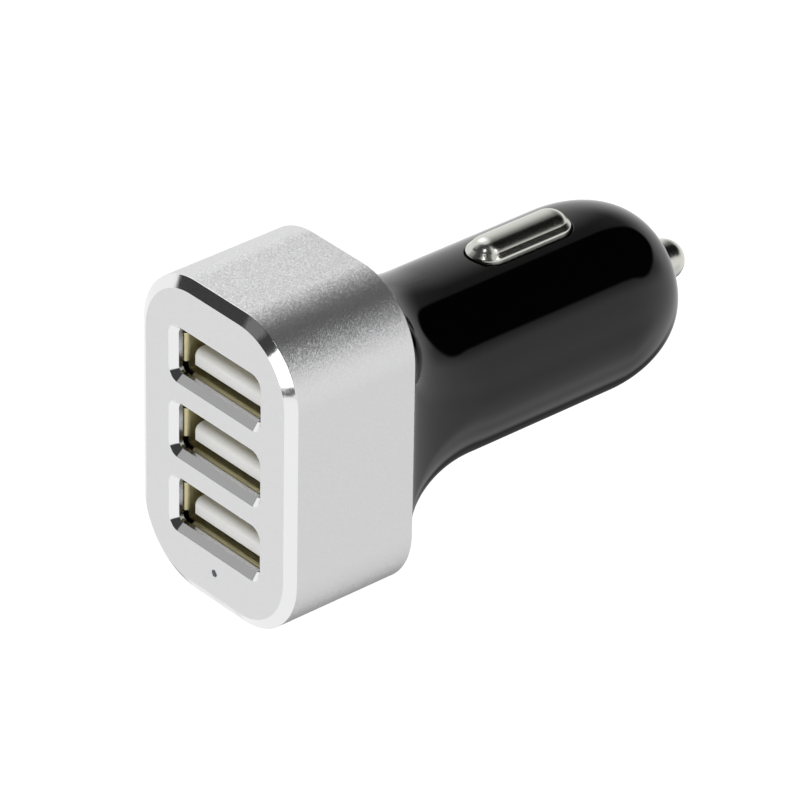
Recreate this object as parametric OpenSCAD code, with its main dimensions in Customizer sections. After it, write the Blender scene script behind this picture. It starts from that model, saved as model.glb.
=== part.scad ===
// Three-port USB charger plug for a 12 V car socket.
// X runs across a port, Y along the plug from the square face to the centre pin, Z along the row of ports.
// The origin is on the barrel's axis, where the round barrel begins.

/* [Square end] */
// Width of the face on each side of a port's bevel
side_margin = 4.95; // [4.4:0.05:6]
// Height of the face above the first port's bevel
top_margin = 5.94; // [5.5:0.02:8]
// Height of the face below the last port's bevel
bottom_margin = 6.24; // [5.8:0.02:8]
// Radius of the square end's four corners
corner_r = 8.4; // [7.4:0.1:9]
// Thickness of the shroud's front plate
plate_t = 1.3; // [1.1:0.1:1.8]
// Thickness of the shroud's side wall
shroud_wall = 1.2; // [1:0.1:1.4]
// Width of the cut bevel, measured across the face
bevel_w = 1.25; // [0.6:0.05:1.6]
// Depth of the cut bevel, measured along the plug
bevel_d = 0.75; // [0.4:0.05:1]

/* [Port openings] */
// Distance that a port opening is wider than its socket's shell inside, on each side
port_side = 0.325; // [0.2:0.025:0.5]
// Distance that a port opening is higher than its socket's shell inside, above and below
port_lip = 0.04; // [0:0.02:0.2]
// Corner radius of a port opening, behind its bevel
port_r = 0.7; // [0.4:0.1:1.2]
// Bevel around a port opening
port_bevel = 0.75; // [0.3:0.05:0.9]
// Distance from one port to the next
port_pitch = 8.96; // [8.8:0.02:9.2]
// Diameter of the status light's pinhole
pinhole_d = 0.75; // [0.6:0.05:1]
// Distance from the pinhole to the face's lower end
pinhole_edge = 4.05; // [3.6:0.05:4.4]

/* [Housing] */
// Length from the shroud to the round barrel
neck_len = 12.4; // [11:0.1:16]
// Thickness of the flange that the shroud butts against
flange_t = 0.25; // [0.2:0.05:0.5]
// Distance that the flange stays inside the shroud's outline
flange_inset = 0.3; // [0.1:0.05:0.5]
// Thickness of the ledge that the port board rests on
ledge_t = 1.3; // [1.1:0.1:2]
// Length of the collar inside the shroud
collar_len = 4.5; // [4:0.1:5.5]
// Thickness of the collar
collar_wall = 1.2; // [1:0.1:1.4]
// Diameter of the round barrel
barrel_d = 20.6; // [20.4:0.1:20.9]
// Thickness of the barrel's wall
barrel_wall = 1.4; // [1.2:0.1:1.6]
// Length of the rounded nose
nose_len = 10; // [9.6:0.1:12]
// Diameter of the flat at the end of the nose
nose_end_d = 9.3; // [9:0.1:10.4]
// Thickness of the nose in front of the pin's flange
nose_wall = 2; // [1.6:0.1:2.6]

/* [Centre pin] */
// Diameter of the centre pin
pin_d = 4.6; // [4.2:0.1:5]
// Distance that the pin stands out of the nose
pin_proud = 5.65; // [5.2:0.05:6.5]
// Diameter of the pin's flange
pin_flange_d = 6.6; // [6.2:0.1:6.8]
// Thickness of the pin's flange
pin_flange_t = 1.2; // [0.8:0.1:1.6]
// Length of the sleeve that guides the flange
sleeve_len = 8.6; // [8:0.1:9.4]
// Outer diameter of the coil spring
spring_d = 5.6; // [5.2:0.1:6]
// Thickness of the spring's wire
spring_wire = 0.5; // [0.4:0.05:0.6]
// Number of turns in the spring
spring_turns = 7; // [5:1:8]

/* [Side contacts] */
// Width of a side contact's slot
slot_w = 5; // [4.6:0.1:5.4]
// Length of a side contact's slot
slot_len = 13.4; // [12:0.1:15]
// Distance from the barrel's start to the slot
slot_start = 5.45; // [4.6:0.05:7]
// Distance from the slot to the nose
slot_end = 0.75; // [0.6:0.05:3]
// Distance that a contact's crest stands out of the barrel
contact_proud = 1.8; // [1.2:0.1:2.2]
// Width of the raised crown on a contact
crown_w = 3.5; // [3:0.1:3.8]
// Radius of the crown's top
crown_top_r = 3; // [2.6:0.1:4]
// Radius of the crown's sides
crown_side_r = 1.3; // [1.1:0.05:1.4]
// Slope of the shoulder beside the crown, in degrees
shoulder_slope = 50; // [40:1:55]
// Radius of the rim where the shoulder turns down
contact_rim_r = 0.25; // [0.15:0.05:0.3]
// Thickness of a contact's flange
contact_flange_t = 0.6; // [0.4:0.1:0.8]

/* [USB sockets] */
// Width inside a socket's shell
shell_w = 12.5; // [12.3:0.05:12.7]
// Height inside a socket's shell
shell_h = 5.12; // [5:0.02:5.2]
// Thickness of the shell's sheet metal
shell_t = 0.3; // [0.25:0.05:0.35]
// Length of a socket, from its lips to the board
socket_len = 12.2; // [11.6:0.1:14]
// Radius inside the bend of a flared lip
lip_r = 0.25; // [0.15:0.05:0.35]
// Gap between the tongue and the shell on each side
tongue_side = 0.7; // [0.6:0.05:0.9]
// Thickness of the tongue
tongue_t = 1.84; // [1.7:0.02:1.96]
// Gap between the tongue and the shell's floor
tongue_lift = 0.72; // [0.66:0.02:0.8]
// Distance from the lips back to the tongue's front
tongue_set = 0.65; // [0.4:0.05:1]
// Depth of the insulator behind the tongue
block_len = 3.2; // [2.8:0.1:3.6]
// Width of a contact strip
strip_w = 1; // [0.9:0.05:1.1]
// Thickness of a contact strip
strip_t = 0.25; // [0.2:0.05:0.3]

/* [Circuit boards] */
// Thickness of both circuit boards
board_t = 1.2; // [1:0.1:1.3]

/* [Clearances] */
// Gap between pieces that are fixed to each other
fit_gap = 0.1; // [0.08:0.01:0.12]
// Gap around the centre pin in its bore
bore_gap = 0.05; // [0.04:0.01:0.08]
// Gap around a side contact, and around the pin's flange
slide_gap = 0.15; // [0.12:0.01:0.2]

/* [Hidden] */
$fn = 64;
aluminium = [0.83, 0.83, 0.83];
gloss_black = [0.06, 0.06, 0.065];
nickel = [0.78, 0.76, 0.72];
port_nickel = [0.55, 0.51, 0.38];
white_plastic = [0.93, 0.93, 0.91];
gilt = [0.83, 0.68, 0.35];
board_green = [0.1, 0.34, 0.19];
part_grey = [0.22, 0.22, 0.24];

// Cutters run past the faces that they cut by this much
over = 0.5;
// The lofted neck stays this far inside the barrel's and the shroud's outline, so no faces coincide
seam = 0.02;
arc_steps = 10;
neck_steps = 16;
nose_steps = 18;

// Openings, and the square end around them
port_w = shell_w + 2 * port_side;
port_h = shell_h + 2 * port_lip;
face_w = port_w + 2 * (port_bevel + side_margin);
face_h = 2 * port_pitch + port_h + 2 * port_bevel + top_margin + bottom_margin;
port_rise = (bottom_margin - top_margin) / 2;

// Stations along the plug
rear_y = -neck_len;
ledge_y = rear_y - ledge_t;
port_board_y = ledge_y - board_t;
lip_y = port_board_y - socket_len;
plate_y = lip_y - fit_gap;
face_y = plate_y - plate_t;
collar_y = rear_y - collar_len;
neck_y = rear_y + flange_t;
barrel_len = slot_start + slot_len + slot_end;
nose_y = barrel_len + nose_len;
shoulder_y = nose_y - nose_wall;
sleeve_y = shoulder_y - sleeve_len;

// Barrel and nose
barrel_r = barrel_d / 2;
bore_r = barrel_r - barrel_wall;
nose_end_r = nose_end_d / 2;

// Room inside the shroud, the collar and the ledge that the port board rests on
collar_inset = shroud_wall + fit_gap;
pocket_inset = collar_inset + collar_wall;
ledge_w = 0.8;
ledge_inset = pocket_inset + ledge_w;
neck_room = face_w / 2 - ledge_inset;
neck_inner_from = 24;
neck_inner_shift = 1;

// Snap ridge on the collar and its groove in the shroud
snap_h = 0.3;
snap_half = 0.5;
snap_len = 12;
snap_y = rear_y - collar_len * 0.6;

// USB sockets
shell_r = 0.2;
lip_bend = lip_r + shell_t;
lip_corner = 0.9;
leg_x = (shell_w + shell_t) / 2;
leg_w = 1.4;
leg_spread = 1.6;
leg_out = 1;
latch_w = 2;
latch_len = 4.4;
latch_x = 3.1;
latch_from = 3.2;
latch_gap = 0.4;
latch_bend = 0.3;
latch_root_y = lip_y + latch_from + latch_len + latch_gap;
tongue_w = shell_w - 2 * tongue_side;
tongue_front_y = lip_y + tongue_set;
tongue_nose_r = 0.85;
tongue_top = -shell_h / 2 + tongue_lift + tongue_t;
strip_x = [-3.5, -1, 1, 3.5];
strip_sink = 0.15;
strip_set = 1.7;
strip_bow = 0.35;
strip_out = 0.8;
strip_y = tongue_front_y + strip_set;
strip_z = tongue_top - strip_sink + strip_t / 2;

// Boards and their rails
board_side = 1.1;
main_board_w = 2 * (min(bore_r, neck_room) - board_side);
rail_w = 1;
rail_depth = 0.8;
rail_end = sleeve_y - 3;
tab_w = 1.7;
tab_set = 0.4;
tab_x = min(main_board_w, 2 * (neck_room - fit_gap) - tab_w) / 2;

// Pin, spring and terminal
pin_r = pin_d / 2;
pin_tip_y = nose_y + pin_proud;
pin_flange_y = shoulder_y - bore_gap - pin_flange_t;
pin_tail_r = spring_d / 2 - spring_wire - 0.6;
pin_tail_len = 2;
sleeve_r = pin_flange_d / 2 + slide_gap;
terminal_t = 0.4;
terminal_y = sleeve_y - 3;
terminal_tab_w = 3;
terminal_tab_len = 3.5;
seat_y = terminal_y + terminal_t;
main_board_end = terminal_y - fit_gap;
main_board_start = ledge_y + max(leg_out, strip_out) + 0.2;

terminal_r = spring_d / 2 + 0.4;
turn_steps = 20;
wire_sides = 8;

// Side contacts
slot_mid = slot_start + slot_len / 2;
contact_half_w = slot_w / 2 - slide_gap;
contact_half_l = slot_len / 2 - slide_gap;
crest_z = barrel_r + contact_proud;
crown_top = [0, crest_z - crown_top_r];
crown_foot_slope = 72;
crown_turn = asin((crown_w / 2 - crown_side_r * sin(crown_foot_slope)) / (crown_top_r - crown_side_r));
crown_side = crown_top + (crown_top_r - crown_side_r) * [sin(crown_turn), cos(crown_turn)];
crown_foot = crown_side + crown_side_r * [sin(crown_foot_slope), cos(crown_foot_slope)];
rim_out = contact_half_w - contact_rim_r * (1 - sin(shoulder_slope));
rim_edge = [rim_out, crown_foot[1] - (rim_out - crown_foot[0]) * tan(shoulder_slope)];
rim_middle = rim_edge - contact_rim_r * [sin(shoulder_slope), cos(shoulder_slope)];
arc_turn = 12;
contact_flange_w = slot_w - 0.6;
contact_flange_over = 1.1;
contact_flange_top = sqrt(pow(bore_r, 2) - pow(contact_flange_w / 2, 2)) - fit_gap;
contact_flange_z = contact_flange_top - contact_flange_t;
contact_foot_z = contact_flange_z + contact_flange_t / 2;

// Leaf springs under the side contacts
leaf_t = 0.25;
leaf_w = 3.2;
leaf_foot_len = 2.5;
leaf_reach = 6.5;
leaf_curl = 0.6;

// Leads, and the electronic parts in their order along the main board
lead_t = 0.2;
lead_w = 0.42;
lead_pitch = 1.27;
lead_run = 1.1;
can_r = 2.5;
can_foot = 5.3;
can_foot_h = 0.8;
can_cut = 1;
can_groove = 0.35;
can_tab = 0.8;
can_room = 1.2;
input_capacitor_h = bore_r - board_t / 2 - can_room;
output_capacitor_h = 5.4;
inductor_w = 6;
inductor_h = 3;
inductor_r = 0.9;
chip_w = 3.9;
chip_len = 4.9;
chip_h = 1.6;
chip_lift = 0.15;
diode_w = 2.6;
diode_len = 3.9;
diode_h = 2.1;
fuse_len = 3;
fuse_w = 1.5;
fuse_h = 0.5;
fuse_plate = 0.04;
part_gap = 0.5;
input_capacitor_y = main_board_start + part_gap + can_foot / 2;
inductor_y = input_capacitor_y + (can_foot + inductor_w + can_tab) / 2 + part_gap;
chip_y = main_board_start + part_gap + chip_len / 2;
output_capacitor_y = chip_y + (chip_len + can_foot + can_tab) / 2 + part_gap;
diode_x = (can_foot + diode_w) / 2 + part_gap;
fuse_y = terminal_y - terminal_tab_len - part_gap - fuse_w;

// Status light
led_w = 1.6;
led_h = 0.6;
guide_r = 0.8;
guide_set = 0.35;

function port_z(k) = port_rise + (2 - k) * port_pitch;
pinhole_z = pinhole_edge - face_h / 2;

// Shared shapes

// Extrudes a drawing made in X and Z from y0 to y1
module extrude_y(y0, y1)
    translate([0, y1, 0])
        rotate([90, 0, 0])
            linear_extrude(y1 - y0)
                children();

// Turns a profile drawn as radius and height about the plug's axis
module revolve_y()
    rotate([-90, 0, 0])
        rotate_extrude($fn = 96)
            children();

module rod_y(r, y0, y1)
    translate([0, y0, 0])
        rotate([-90, 0, 0])
            cylinder(r = r, h = y1 - y0);

module box_between(lo, hi)
    translate(lo)
        cube(hi - lo);

module rounded_rect(w, h, r) {
    square([w - 2 * r, h], center = true);
    square([w, h - 2 * r], center = true);
    for (sx = [-1, 1], sz = [-1, 1])
        translate([sx * (w / 2 - r), sz * (h / 2 - r)])
            circle(r);
}

module rounded_block(w, h, r, y0, y1)
    extrude_y(y0, y1)
        rounded_rect(w, h, r);

// Rounded block whose outline grows on every side by grow from y0 to y1
module flared_block(w, h, r, grow, y0, y1) {
    for (sx = [-1, 1], sz = [-1, 1])
        translate([sx * (w / 2 - r), y0, sz * (h / 2 - r)])
            rotate([-90, 0, 0])
                cylinder(r1 = r, r2 = r + grow, h = y1 - y0);
    translate([0, 0, r - h / 2])
        linear_extrude(h - 2 * r)
            polygon([[-w / 2, y0], [w / 2, y0], [w / 2 + grow, y1], [-w / 2 - grow, y1]]);
    translate([w / 2 - r, 0, 0])
        rotate([0, -90, 0])
            linear_extrude(w - 2 * r)
                polygon([[-h / 2, y0], [h / 2, y0], [h / 2 + grow, y1], [-h / 2 - grow, y1]]);
}

// Outline of a strip of thickness t whose middle line runs through the points of path
function heading(path, i) =
    let(d = path[min(i + 1, len(path) - 1)] - path[max(i - 1, 0)])
    d / norm(d);
function edge_of(path, i, off) =
    let(d = heading(path, i))
    path[i] + off * [-d[1], d[0]];
function ribbon(path, t) = concat(
    [for (i = [0:len(path) - 1]) edge_of(path, i, t / 2)],
    [for (i = [len(path) - 1:-1:0]) edge_of(path, i, -t / 2)]
);

// Strip of width w whose path is drawn in Y and Z
module strip_at(x, path, t, w)
    translate([x - w / 2, 0, 0])
        rotate([90, 0, 90])
            linear_extrude(w)
                polygon(ribbon(path, t));

// Skin through a list of rings that have the same number of points
module loft(rings) {
    n = len(rings[0]);
    last = len(rings) - 1;
    sides = [
        for (k = [0:last - 1], i = [0:n - 1])
            let(a = k * n + i, b = k * n + (i + 1) % n)
            each [[a, b, b + n], [a, b + n, a + n]]
    ];
    near_end = [for (i = [n - 1:-1:0]) i];
    far_end = [for (i = [0:n - 1]) last * n + i];
    polyhedron(points = [for (r = rings) each r], faces = concat([near_end], sides, [far_end]));
}

// Ring of points on a rounded rectangle with half sizes a and b
function ring(a, b, r, y) = [
    for (q = [0:3], i = [0:arc_steps])
        let(
            t = 90 * (q + i / arc_steps),
            sx = (q == 0 || q == 3) ? 1 : -1,
            sz = q < 2 ? 1 : -1
        )
        [sx * (a - r) + r * cos(t), y, sz * (b - r) + r * sin(t)]
];

// The neck is a concave quarter ellipse: turn runs from 0 at the flange to 90 at the barrel
function blend(from, to, turn) = to + (from - to) * (1 - sin(turn));
function neck_station(turn) = neck_y * cos(turn);
function slim_ring(a, b, r, y) = ring(a - seam, b - seam, min(r, a, b) - 2 * seam, y);
function at_y(points, y) = [for (p = points) [p[0], y, p[2]]];
function neck_half(size, turn) = blend(size / 2 - flange_inset, barrel_r, turn);
function neck_ring(turn) = slim_ring(
    neck_half(face_w, turn),
    neck_half(face_h, turn),
    blend(corner_r - flange_inset, barrel_r, turn),
    neck_station(turn)
);
function neck_cavity_ring(turn) =
    let(
        a = min(neck_half(face_w, turn) - barrel_wall, neck_room),
        b = min(neck_half(face_h, turn) - barrel_wall, face_h / 2 - ledge_inset),
        r = blend(corner_r - ledge_inset, bore_r, turn)
    )
    slim_ring(a, b, r, neck_station(turn) - neck_inner_shift);

// Quarter ellipse from the barrel to the flat at the end of the nose, as radius and height
function nose_curve(r0, r1, len) = [
    for (i = [0:nose_steps])
        let(t = 90 * i / nose_steps)
        [r1 + (r0 - r1) * cos(t), barrel_len + len * sin(t)]
];

// Aluminium shroud: machined from one piece, with cut bevels
module front_shroud()
    color(aluminium)
    difference() {
        intersection() {
            rounded_block(face_w, face_h, corner_r, face_y, rear_y);
            flared_block(face_w - 2 * bevel_w, face_h - 2 * bevel_w, corner_r - bevel_w,
                bevel_w / bevel_d * (rear_y - face_y + over), face_y, rear_y + over);
        }
        rounded_block(face_w - 2 * shroud_wall, face_h - 2 * shroud_wall, corner_r - shroud_wall,
            plate_y, rear_y + over);
        for (k = [1:3])
            translate([0, 0, port_z(k)])
                port_cut();
        translate([0, 0, pinhole_z])
            rod_y(pinhole_d / 2, face_y - over, plate_y + over);
        for (s = [-1, 1])
            snap_bar(s, fit_gap, shroud_wall);
    }

// Opening of one port, with its bevel at the face
module port_cut() {
    rounded_block(port_w, port_h, port_r, face_y - over, plate_y + over);
    mirror([0, 1, 0])
        flared_block(port_w, port_h, port_r, port_bevel + over, -face_y - port_bevel, -face_y + over);
}

// Wedge that stands out of the collar by snap_h, grown by gap to cut its groove
module snap_bar(side, gap, root) {
    x0 = face_w / 2 - collar_inset - root / 2;
    x1 = face_w / 2 - collar_inset + snap_h + gap;
    half = snap_half + gap;
    mirror([side < 0 ? 1 : 0, 0, 0])
        translate([0, 0, -snap_len / 2 - gap])
            linear_extrude(snap_len + 2 * gap)
                polygon([
                    [x0, snap_y - half], [x1, snap_y - half / 3],
                    [x1, snap_y + half / 3], [x0, snap_y + half]
                ]);
}

// Housing: one moulding, from the collar inside the shroud to the nose
module housing()
    color(gloss_black) {
        difference() {
            union() {
                rounded_block(face_w - 2 * collar_inset, face_h - 2 * collar_inset,
                    corner_r - collar_inset, collar_y, neck_y);
                for (s = [-1, 1])
                    snap_bar(s, 0, collar_wall);
                loft([
                    at_y(neck_ring(0), rear_y),
                    for (i = [0:neck_steps]) neck_ring(90 * i / neck_steps),
                    at_y(neck_ring(90), over)
                ]);
                revolve_y()
                    polygon([
                        [0, 0], [barrel_r, 0],
                        each nose_curve(barrel_r, nose_end_r, nose_len),
                        [0, nose_y]
                    ]);
            }
            rounded_block(face_w - 2 * pocket_inset, face_h - 2 * pocket_inset, corner_r - pocket_inset,
                collar_y - over, ledge_y);
            neck_cavity();
            revolve_y()
                polygon(barrel_cavity());
            for (s = [0, 1])
                mirror([0, 0, s])
                    contact_slot();
        }
        board_rails();
    }

module neck_cavity()
    loft([
        at_y(neck_cavity_ring(neck_inner_from), ledge_y - over),
        for (i = [0:neck_steps])
            neck_cavity_ring(neck_inner_from + (90 - neck_inner_from) * i / neck_steps)
    ]);

// Room inside the barrel and nose, with the sleeve for the pin's flange and the pin's bore
function barrel_cavity() = [
    [0, -neck_inner_shift - over], [bore_r, -neck_inner_shift - over],
    each nose_curve(bore_r, nose_end_r, nose_len - nose_wall),
    [nose_end_r, sleeve_y], [sleeve_r, sleeve_y],
    [sleeve_r, shoulder_y], [pin_r + bore_gap, shoulder_y],
    [pin_r + bore_gap, nose_y + over], [0, nose_y + over]
];

module contact_slot()
    translate([0, slot_mid, bore_r / 2])
        linear_extrude(barrel_r)
            obround(slot_w, slot_len);

module obround(w, l) {
    square([w, l - w], center = true);
    for (s = [-1, 1])
        translate([0, s * (l - w) / 2])
            circle(w / 2);
}

// Pairs of ribs along the bore that hold the main board by its edges
module board_rails()
    for (sx = [0, 1], sz = [0, 1])
        mirror([sx, 0, 0])
            mirror([0, 0, sz])
                intersection() {
                    box_between([main_board_w / 2 - rail_depth, 0, board_t / 2 + fit_gap],
                        [barrel_r, rail_end, board_t / 2 + fit_gap + rail_w]);
                    rod_y(barrel_r - barrel_wall / 2, -over, rail_end + over);
                }

// Folded shell of one socket: four walls with flared lips, two latches above and below, four legs
module usb_shell(k)
    color(port_nickel)
    translate([0, 0, port_z(k)]) {
        difference() {
            extrude_y(lip_y + lip_bend - seam, port_board_y)
                difference() {
                    rounded_rect(shell_w + 2 * shell_t, shell_h + 2 * shell_t, shell_r + shell_t);
                    rounded_rect(shell_w, shell_h, shell_r);
                }
            for (sx = [-1, 1], sz = [-1, 1])
                translate([sx * latch_x, 0, sz * shell_h / 2])
                    box_between([-latch_w / 2 - latch_gap, lip_y + latch_from, -shell_t - over],
                        [latch_w / 2 + latch_gap, latch_root_y, shell_t + over]);
        }
        for (s = [-1, 1])
            lip_edge(shell_h / 2, shell_w - 2 * lip_corner, s);
        for (s = [-1, 1])
            rotate([0, 90, 0])
                lip_edge(shell_w / 2, shell_h - 2 * lip_corner, s);
        for (sx = [-1, 1], sz = [0, 1])
            mirror([0, 0, sz])
                latch(sx * latch_x);
        for (sx = [-1, 1], sz = [-1, 1])
            translate([sx * leg_x, port_board_y, sz * leg_spread])
                box_between([-shell_t / 2, -over, -leg_w / 2], [shell_t / 2, board_t + leg_out, leg_w / 2]);
    }

// Flared front edge of the wall at z = side * half, of length l along X
module lip_edge(half, l, side)
    mirror([0, 0, side < 0 ? 1 : 0])
        translate([-l / 2, lip_y + lip_bend, half + lip_bend])
            rotate([90, 0, 90])
                linear_extrude(l)
                    intersection() {
                        difference() {
                            circle(lip_bend);
                            circle(lip_r);
                        }
                        translate([-lip_bend, -lip_bend])
                            square(lip_bend);
                    }

// Sprung tongue cut from the upper wall and bent into the socket
module latch(x) {
    z0 = (shell_h + shell_t) / 2;
    strip_at(x, [
        [latch_root_y + fit_gap, z0], [latch_root_y - latch_gap, z0],
        [latch_root_y - latch_len * 0.6, z0 - latch_bend],
        [latch_root_y - latch_len * 0.75, z0 - latch_bend],
        [latch_root_y - latch_len, z0]
    ], shell_t, latch_w);
}

// White insulator of one socket: the block at the back and the tongue, with a groove for each strip
module usb_insulator(k)
    color(white_plastic)
    translate([0, 0, port_z(k)])
        difference() {
            union() {
                extrude_y(port_board_y - block_len, port_board_y)
                    square([shell_w - fit_gap, shell_h - fit_gap], center = true);
                translate([-tongue_w / 2, 0, tongue_top - tongue_t])
                    rotate([90, 0, 90])
                        linear_extrude(tongue_w)
                            tongue_section();
            }
            for (x = strip_x)
                translate([x, strip_y, tongue_top])
                    box_between([-(strip_w + fit_gap) / 2, -fit_gap, -strip_sink],
                        [(strip_w + fit_gap) / 2, socket_len, strip_bow + strip_t]);
        }

// Side view of the tongue, with its upper front edge rounded
module tongue_section() {
    l = port_board_y - block_len + over;
    translate([tongue_front_y + tongue_nose_r, 0])
        square([l - tongue_front_y - tongue_nose_r, tongue_t]);
    translate([tongue_front_y, 0])
        square([tongue_nose_r + over, tongue_t - tongue_nose_r]);
    translate([tongue_front_y + tongue_nose_r, tongue_t - tongue_nose_r])
        circle(tongue_nose_r);
}

// Four contact strips that lie in the tongue's grooves and pass through the block and the board
module usb_contacts(k)
    color(gilt)
    translate([0, 0, port_z(k)])
        for (x = strip_x)
            strip_at(x, contact_path(), strip_t, strip_w);

function contact_path() =
    let(z = strip_z, bow = z + strip_bow)
    [
        [strip_y, z], [strip_y + 0.8, z], [strip_y + 1.8, bow], [strip_y + 2.8, bow],
        [strip_y + 4.2, z], [ledge_y + strip_out, z]
    ];

// Board across the plug that carries the three sockets
module port_board()
    color(board_green)
    difference() {
        rounded_block(face_w - 2 * (pocket_inset + fit_gap), face_h - 2 * (pocket_inset + fit_gap),
            corner_r - pocket_inset - fit_gap, port_board_y, ledge_y);
        for (k = [1:3])
            translate([0, 0, port_z(k)])
                socket_holes();
        board_tabs(fit_gap, port_board_y - over);
    }

module socket_holes() {
    for (sx = [-1, 1], sz = [-1, 1])
        board_hole(sx * leg_x, sz * leg_spread, shell_t, leg_w);
    for (x = strip_x)
        board_hole(x, strip_z, strip_w, strip_t);
}

module board_hole(x, z, w, h)
    translate([x, 0, z])
        box_between([-w / 2 - fit_gap, port_board_y - over, -h / 2 - fit_gap],
            [w / 2 + fit_gap, ledge_y + over, h / 2 + fit_gap]);

// Tabs at the main board's end that pass through the port board, from y0 on, or their holes where gap is set
module board_tabs(gap, y0)
    for (s = [-1, 1])
        translate([s * tab_x, 0, 0])
            box_between([-tab_w / 2 - gap, y0, -board_t / 2 - gap],
                [tab_w / 2 + gap, main_board_start + over, board_t / 2 + gap]);

// Board along the barrel that carries the converter
module main_board()
    color(board_green) {
        box_between([-main_board_w / 2, main_board_start, -board_t / 2],
            [main_board_w / 2, main_board_end, board_t / 2]);
        board_tabs(0, port_board_y + tab_set);
    }

// Shapes that stand on the main board are drawn upwards from its upper face at z = 0

module on_board(x, y, below = false)
    mirror([0, 0, below ? 1 : 0])
        translate([x, y, board_t / 2])
            children();

// Square can capacitor: black foot with two cut corners, rolled can and two solder tabs
module can_capacitor(h) {
    color(part_grey) {
        difference() {
            linear_extrude(can_foot_h)
                polygon([
                    [-can_foot / 2, -can_foot / 2], [can_foot / 2, -can_foot / 2],
                    [can_foot / 2, can_foot / 2 - can_cut], [can_foot / 2 - can_cut, can_foot / 2],
                    [can_cut - can_foot / 2, can_foot / 2], [-can_foot / 2, can_foot / 2 - can_cut]
                ]);
            cylinder(r = can_r - can_groove, h = 3 * can_foot_h, center = true);
        }
        for (s = [-1, 1])
            translate([0, s * (can_foot / 2 + can_tab / 4), can_groove / 4])
                cube([can_tab, can_tab / 2 + can_groove, can_groove / 2], center = true);
    }
    color(aluminium)
        rotate_extrude()
            difference() {
                polygon([[0, 0], [can_r, 0], [can_r, h - can_groove], [can_r - can_groove, h], [0, h]]);
                translate([can_r + can_groove / 3, can_foot_h + 2 * can_groove])
                    circle(can_groove, $fn = 24);
            }
}

module input_capacitor()
    on_board(0, input_capacitor_y)
        can_capacitor(input_capacitor_h);

module output_capacitor()
    on_board(0, output_capacitor_y, true)
        can_capacitor(output_capacitor_h);

// Shielded coil: square ferrite body with a wound drum sunk in its top
module power_inductor()
    color(part_grey)
    on_board(0, inductor_y) {
        difference() {
            linear_extrude(inductor_h)
                rounded_rect(inductor_w, inductor_w, inductor_r);
            translate([0, 0, inductor_h - inductor_r / 2])
                difference() {
                    cylinder(r = inductor_w / 2 - inductor_r / 2, h = inductor_r);
                    cylinder(r = inductor_w / 2 - inductor_r, h = 2 * inductor_r, center = true);
                }
        }
        for (s = [-1, 1])
            translate([s * inductor_w / 2, 0, inductor_r / 2])
                cube([2 * leaf_t, inductor_w / 3, inductor_r], center = true);
    }

// Strip of width w at y whose path is drawn in X and Z
module strip_across(y, path, t, w)
    translate([0, y + w / 2, 0])
        rotate([90, 0, 0])
            linear_extrude(w)
                polygon(ribbon(path, t));

// Eight-lead chip with bent leads
module regulator_chip()
    color(part_grey)
    on_board(0, chip_y, true) {
        difference() {
            translate([-chip_w / 2, -chip_len / 2, chip_lift])
                cube([chip_w, chip_len, chip_h - chip_lift]);
            translate([chip_w / 4, -chip_len / 3, chip_h])
                cylinder(r = lead_w, h = chip_lift, center = true);
        }
        for (k = [-1.5:1:1.5], s = [0, 1])
            mirror([s, 0, 0])
                strip_across(k * lead_pitch, [
                    [chip_w / 2 - over, chip_h / 2], [chip_w / 2 + lead_run / 3, chip_h / 2],
                    [chip_w / 2 + lead_run / 2, lead_t / 2], [chip_w / 2 + lead_run, lead_t / 2]
                ], lead_t, lead_w);
    }

// Moulded diode with its two leads folded under its ends
module flyback_diode()
    color(part_grey)
    on_board(diode_x, output_capacitor_y, true) {
        translate([-diode_w / 2, -diode_len / 2, lead_t])
            cube([diode_w, diode_len, diode_h - lead_t]);
        for (s = [0, 1])
            mirror([0, s, 0])
                strip_at(0, [
                    [diode_len / 2 - over, diode_h / 2], [diode_len / 2 + lead_t, diode_h / 2],
                    [diode_len / 2 + lead_t, lead_t / 2], [diode_len / 2 - 2 * over, lead_t / 2]
                ], lead_t, diode_w / 2);
    }

// Small chip fuse with plated ends
module input_fuse()
    color(white_plastic)
    on_board(0, fuse_y) {
        translate([-fuse_len / 2, -fuse_w / 2, fuse_plate])
            cube([fuse_len, fuse_w, fuse_h]);
        for (s = [-1, 1])
            translate([s * fuse_len / 2, 0, fuse_h / 2 + fuse_plate])
                cube([fuse_w / 2, fuse_w + 2 * fuse_plate, fuse_h + 2 * fuse_plate], center = true);
    }

// Status light on the port board, and the clear guide that carries its light to the pinhole
module status_led()
    color(white_plastic)
    translate([0, port_board_y, pinhole_z]) {
        box_between([-led_w / 2, -led_h / 2, -led_w / 4], [led_w / 2, 0, led_w / 4]);
        box_between([-led_w / 3, -led_h, -led_w / 4], [led_w / 3, -led_h / 2, led_w / 4]);
    }

module light_guide()
    color([0.85, 0.9, 0.92])
    translate([0, 0, pinhole_z]) {
        rod_y(guide_r, plate_y, port_board_y - led_h);
        rod_y(pinhole_d / 2 - bore_gap, face_y + guide_set, plate_y + over);
    }

// Centre pin: domed plunger with a flange that stops against the nose and a tail inside the spring
module centre_pin()
    color(nickel) {
        rod_y(pin_r, pin_flange_y, pin_tip_y - pin_r);
        translate([0, pin_tip_y - pin_r, 0])
            sphere(pin_r);
        rod_y(pin_flange_d / 2, pin_flange_y, pin_flange_y + pin_flange_t);
        rod_y(pin_tail_r, pin_flange_y - pin_tail_len, pin_flange_y + over);
    }

// Coil with closed ends, swept along the plug's axis
module pin_spring()
    color(nickel)
    loft([for (i = [0:spring_turns * turn_steps]) wire_ring(i / turn_steps)]);

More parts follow.
